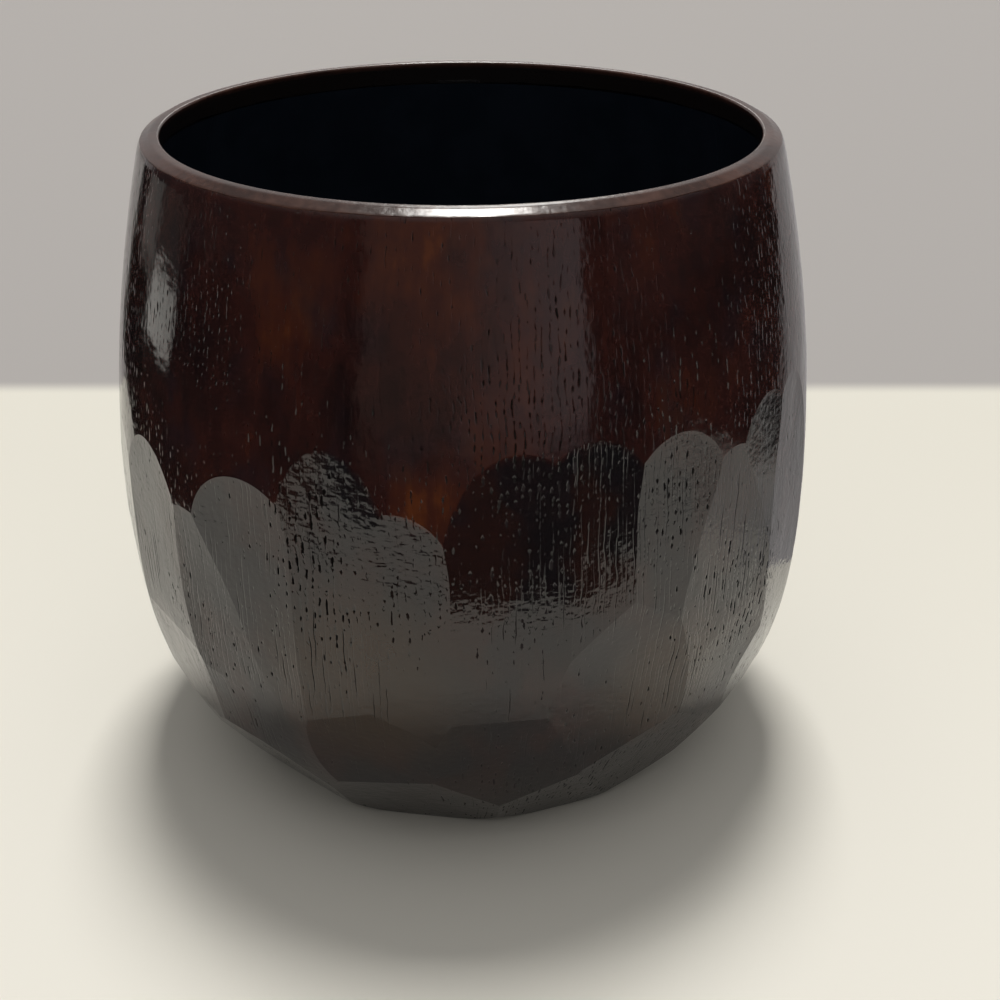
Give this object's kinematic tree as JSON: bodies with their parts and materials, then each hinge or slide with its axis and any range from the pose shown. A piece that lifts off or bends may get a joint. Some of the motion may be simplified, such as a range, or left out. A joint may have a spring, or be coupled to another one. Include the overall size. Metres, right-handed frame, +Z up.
{
  "type": "drinking cup",
  "caption": "Handleless turned wooden drinking cup with a smooth upper wall, hand-carved facets round its lower half, a brown lacquered lip and a black lacquered inside.",
  "frame": {"origin": "centre of the foot, on the plane of the table", "axes": "+Z up along the turning axis, -Y towards the side that the picture shows, +X to that view's right"},
  "size_m": [0.084, 0.0836, 0.0767],
  "materials": {
    "wiped_lacquer_wood": "open-grained wood under thin wiped red-brown lacquer, satin gloss",
    "black_lacquer": "built-up black lacquer, high gloss",
    "brown_lacquer": "built-up dark brown lacquer, gloss"
  },
  "bodies": {
    "root": {"carved_wooden_body": "wiped_lacquer_wood", "black_lacquer_lining": "black_lacquer", "lip_lacquer_band": "brown_lacquer", "foot_recess_lacquer": "black_lacquer"}
  },
  "joints": []
}
